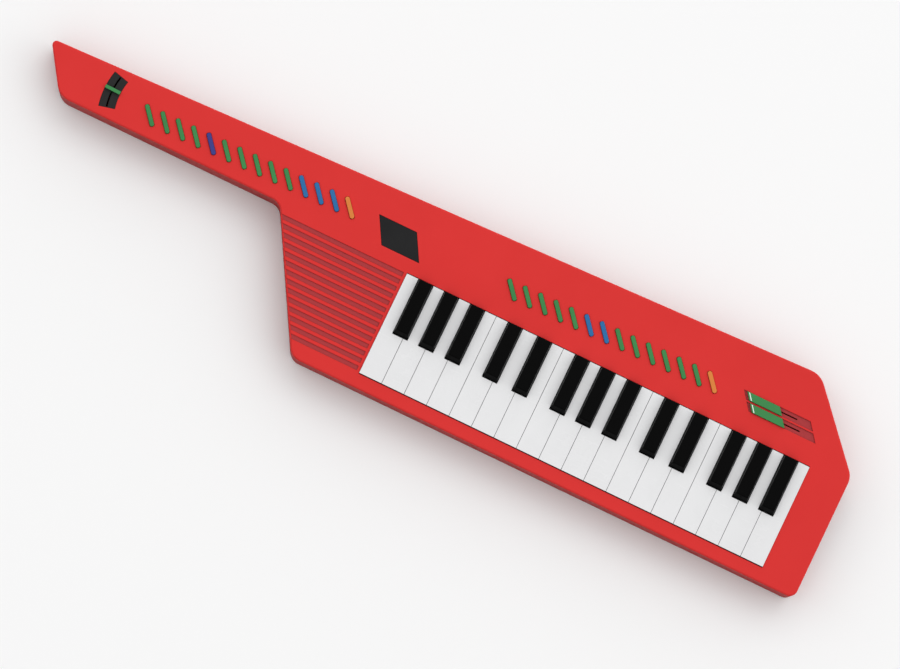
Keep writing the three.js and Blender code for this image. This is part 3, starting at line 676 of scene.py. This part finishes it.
# %% [markdown]
# ## Casing screws
#
# Eight self-tapping screws hold the shells together, sunk in deep counterbores at the back. Each has
# a pan head with a cross recess. Two crossed bars, narrower inside the head, are cut out one after
# the other and to slightly different depths. One cross-shaped tool would pass through itself, and
# equal depths would share a face, and a boolean cut dislikes both. One blank is cut, and every screw
# is a copy of it.

# %% Shape the cutting tool
RECESS_FACE = 7.2  # where the bars start, below the head's crown
RECESS_DEPTHS = ((0, 8.8), (math.pi / 2, 8.7))  # how each bar is turned, and how high it reaches
BAR_REACH, BAR_HALF = 1.5, 0.33  # from the middle to the bar's end, and to its side
DEEP_REACH, DEEP_HALF = 0.5, 0.7  # how much of those is left at the bottom of the recess


def recess_bar(turned_by, height):
    """One bar of the cross, from the head's face up to a height inside it."""
    shape = bmesh.new()
    bar = bmesh.ops.create_cube(shape, size=1)["verts"]
    for vert in bar:
        deep = vert.co.z > 0
        vert.co.x *= 2 * BAR_REACH * (DEEP_REACH if deep else 1)
        vert.co.y *= 2 * BAR_HALF * (DEEP_HALF if deep else 1)
        vert.co.z = height if deep else RECESS_FACE
    bmesh.ops.rotate(shape, verts=bar, cent=(0, 0, 0), matrix=Matrix.Rotation(turned_by, 3, "Z"))
    bmesh.ops.scale(shape, verts=bar, vec=(MM, MM, MM))
    return as_mesh("recess_bar", shape)


def cut(piece, tool_mesh):
    """Cuts a tool out of a piece for good, and throws the tool away."""
    tool = bpy.data.objects.new("tool", tool_mesh)
    bpy.context.collection.objects.link(tool)
    knife = piece.modifiers.new("cut", "BOOLEAN")
    knife.object = tool
    knife.operation = "DIFFERENCE"
    knife.solver = "EXACT"
    bpy.context.view_layer.update()
    scene_now = bpy.context.evaluated_depsgraph_get()
    result = bpy.data.meshes.new_from_object(piece.evaluated_get(scene_now))
    piece.modifiers.remove(knife)
    piece.data = result
    bpy.data.objects.remove(tool)


print("a cross recess", 2 * BAR_REACH, "mm across")

# %% Make the screws
HEAD_PROFILE = [(0, 7.6), (1.2, 7.65), (2.0, 7.95), (2.5, 8.5), (2.55, 9.3), (2.4, 9.7), (0, 9.7)]
SCREW_PLACES = [  # along and across the instrument, in millimetres from its middle
    (-384, 56), (-222, 30), (-162, 67), (-78, -83), (155, -88), (388, -83), (334, 82), (90, 77),
]
blank_mesh = turned("screw_blank", HEAD_PROFILE, (0, 0, 0), steps=32)
blank = bpy.data.objects.new("screw_blank", blank_mesh)
bpy.context.collection.objects.link(blank)
for turned_by, height in RECESS_DEPTHS:
    cut(blank, recess_bar(turned_by, height))
for number, (x, y) in enumerate(SCREW_PLACES, 1):
    head = blank.data.copy()
    head.transform(Matrix.Translation(Vector((x, y, 0)) * MM))
    new_piece(f"casing_screw_{number}", head, nickel)
print(len(SCREW_PLACES), "casing screws,", len(blank.data.polygons), "faces each")
bpy.data.objects.remove(blank)

# %% [markdown]
# ## Grille cloth
#
# Dark red cloth is cut into strips that lie along the floors of the grooves and hide the slits. Their
# dark red is painted shade, the darker red that the floor of a groove has in shade. Each strip is a
# thin slab with softly rounded edges, and it ends a little short of the slanted side of the body. One
# sheet behind the whole grille would be truer, but the floors of the grooves would hide most of it.

# %% Cut flat slabs


def slabs(name, outlines, low, high):
    """Flat slabs between two heights. An outline is its corners in millimetres, anticlockwise."""
    shape = bmesh.new()
    for corners in outlines:
        foot = [shape.verts.new(Vector((x, y, low)) * MM) for x, y in corners]
        top = [shape.verts.new(Vector((x, y, high)) * MM) for x, y in corners]
        shape.faces.new(top)
        shape.faces.new(foot[::-1])
        for i in range(len(corners)):
            j = (i + 1) % len(corners)
            shape.faces.new((foot[i], foot[j], top[j], top[i]))
    return as_mesh(name, shape)


CLEAR = 0.12  # between cloth and the walls round it
LIFT = 0.02  # between cloth and the floor under it, so that no two faces coincide
print("cloth stays", CLEAR, "mm off the walls")

# %% Lay the strips
GROOVES = {"count": 14, "right": -33.2, "first": 13.9, "pitch": 7.06, "width": 4.1, "floor": 39.1}
SLANT_TOP, SLANT_FOOT = (-158.5, 24.5), (-90.0, -94.5)  # the ends of the body's slanted side
RIM = 1.6  # from the slanted side to a strip's end
STRIP_THICKNESS, STRIP_ROUNDING = 0.28, 0.12


def slanted_side(y):
    """How far right the slanted side of the body is, at a height on the panel."""
    share = (SLANT_TOP[1] - y) / (SLANT_TOP[1] - SLANT_FOOT[1])
    return SLANT_TOP[0] + share * (SLANT_FOOT[0] - SLANT_TOP[0])


# Each strip is a dark red sheet of painted shade on a groove's floor.
strips = []
right = GROOVES["right"] - CLEAR
for i in range(GROOVES["count"]):
    far = GROOVES["first"] + GROOVES["width"] / 2 - i * GROOVES["pitch"] - CLEAR
    near = far - GROOVES["width"] + 2 * CLEAR
    near_left, far_left = slanted_side(near) + RIM, slanted_side(far) + RIM
    strips.append([(near_left, near), (right, near), (right, far), (far_left, far)])
low = GROOVES["floor"] + LIFT
strip_mesh = slabs("grille_cloth", strips, low, low + STRIP_THICKNESS)
grille_cloth = new_piece("grille_cloth", strip_mesh, grille_red)
round_edges(grille_cloth, STRIP_ROUNDING)
print("grille cloth in", len(strips), "strips")

# %% [markdown]
# ## Liners of the slide controls
#
# The floor of each slide control's pocket is lined with the same dark red cloth, with a slot for the
# control's foot. Its dark red is painted shade, the darker red that the floor of the pocket has in
# shade. The slot is cut with a boolean, as a die would punch it, because a face in Blender cannot
# have a hole.

# %% Line the two pockets
POCKET = {"length": 65.2, "height": 7.2, "floor": 38.8, "liner": 0.16}
POCKET_PLACES = {"volume": (281.5, 53.3), "tempo": (288.1, 44.6)}  # left and far corner
SLANT = math.radians(38)  # how the ends of the pockets and caps lean
SLIT = {"left": 16.9, "right": 53.9, "half": 0.65}  # from the pocket's left end, and across it


def leaning_outline(left, far, length, height, margin):
    """An outline with leaning ends, in by a margin from its far and near sides."""
    lean = math.tan(SLANT)
    return [
        (left + lean * depth + along, far - depth)
        for depth, ends in ((height - margin, (0, length)), (margin, (length, 0)))
        for along in ends
    ]


end_gap = CLEAR / math.cos(SLANT)
low = POCKET["floor"] + LIFT
# Each liner is a dark red sheet of painted shade on a pocket's floor.
for control, (left, far) in POCKET_PLACES.items():
    outline = leaning_outline(
        left + end_gap, far, POCKET["length"] - 2 * end_gap, POCKET["height"], CLEAR
    )
    liner_mesh = slabs(control + "_liner", [outline], low, low + POCKET["liner"])
    liner = new_piece(control + "_liner", liner_mesh, grille_red, smooth=False)
    middle = far - POCKET["height"] / 2
    slit_left, slit_right = left + SLIT["left"], left + SLIT["right"]
    slit_near, slit_far = middle - SLIT["half"], middle + SLIT["half"]
    slit = [
        (slit_left, slit_near), (slit_right, slit_near), (slit_right, slit_far), (slit_left, slit_far),
    ]
    cut(liner, slabs("slit", [slit], low - 1, low + 1))
print("pocket liners:", len(POCKET_PLACES), "with", len(liner.data.polygons), "faces each")

# %% [markdown]
# ## Index lines on the slide controls
#
# Each slide control has a white line near its left end, so that its setting can be read at a glance.
# On the real cap it is a filled groove. A thin strip that stands a hair proud of the cap, leaning
# like the cap's own ends, shows the same and travels with it. A stripe in the cap's finish would do
# too, but a piece of its own has a crisp edge and shows from the side.

# %% Add the index lines
LINE = {"from_end": 1.5, "width": 1.0, "margin": 0.4, "sunk": 0.1, "proud": 0.08, "rounding": 0.06}
for control in ("volume_slider", "tempo_slider"):
    low, high = [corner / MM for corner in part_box(control)]
    outline = leaning_outline(
        low.x + LINE["from_end"], high.y, LINE["width"], high.y - low.y, LINE["margin"]
    )
    mesh = slabs(control + "_line", [outline], high.z - LINE["sunk"], high.z + LINE["proud"])
    line = new_piece(control + "_line", mesh, paint_white, body=control)
    round_edges(line, LINE["rounding"])
print("index lines", LINE["width"], "mm wide")

# %% [markdown]
# ## Socket hardware
#
# The end wall has three sockets. The phones jack is held by a nut, the five-pin socket has a steel
# shield in its ring, and the power inlet has a bright centre pin. They are turned in the same way as
# the strap pins, along X. The nut is a plain round one, as on many jacks, so turning is enough: one
# with six flats would be cut from a turned blank.

# %% Nut, shield and pin
PLATE_FACE = 397.2  # the end wall's outer face, from the middle of the instrument
SOCKET_HEIGHT = 20.0  # above the table
NUT_PROFILE = [
    (5.35, 0.05), (6.7, 0.05), (7.1, 0.35), (7.1, 0.9), (6.6, 1.3), (5.6, 1.4), (5.35, 1.2),
    (5.35, 0.05),
]
SHIELD_PROFILE = [(6.5, -6.0), (6.9, -6.0), (6.9, 1.1), (6.7, 1.3), (6.5, 1.1), (6.5, -6.0)]
POWER_PROFILE = [(0, -6.0), (1.25, -6.0), (1.25, 0.9), (1.05, 1.3), (0.6, 1.5), (0, 1.55)]
HARDWARE = {  # profile, place along the end wall, and steps round the axis
    "phones_nut": (NUT_PROFILE, -40.0, 36),
    "midi_shield": (SHIELD_PROFILE, -19.0, ROUND_STEPS),
    "power_pin": (POWER_PROFILE, 1.0, 24),
}
for name, (profile, y, steps) in HARDWARE.items():
    mesh = turned(name, profile, (PLATE_FACE, y, SOCKET_HEIGHT), steps, axis="X")
    new_piece(name, mesh, nickel)
print("socket hardware:", list(HARDWARE))
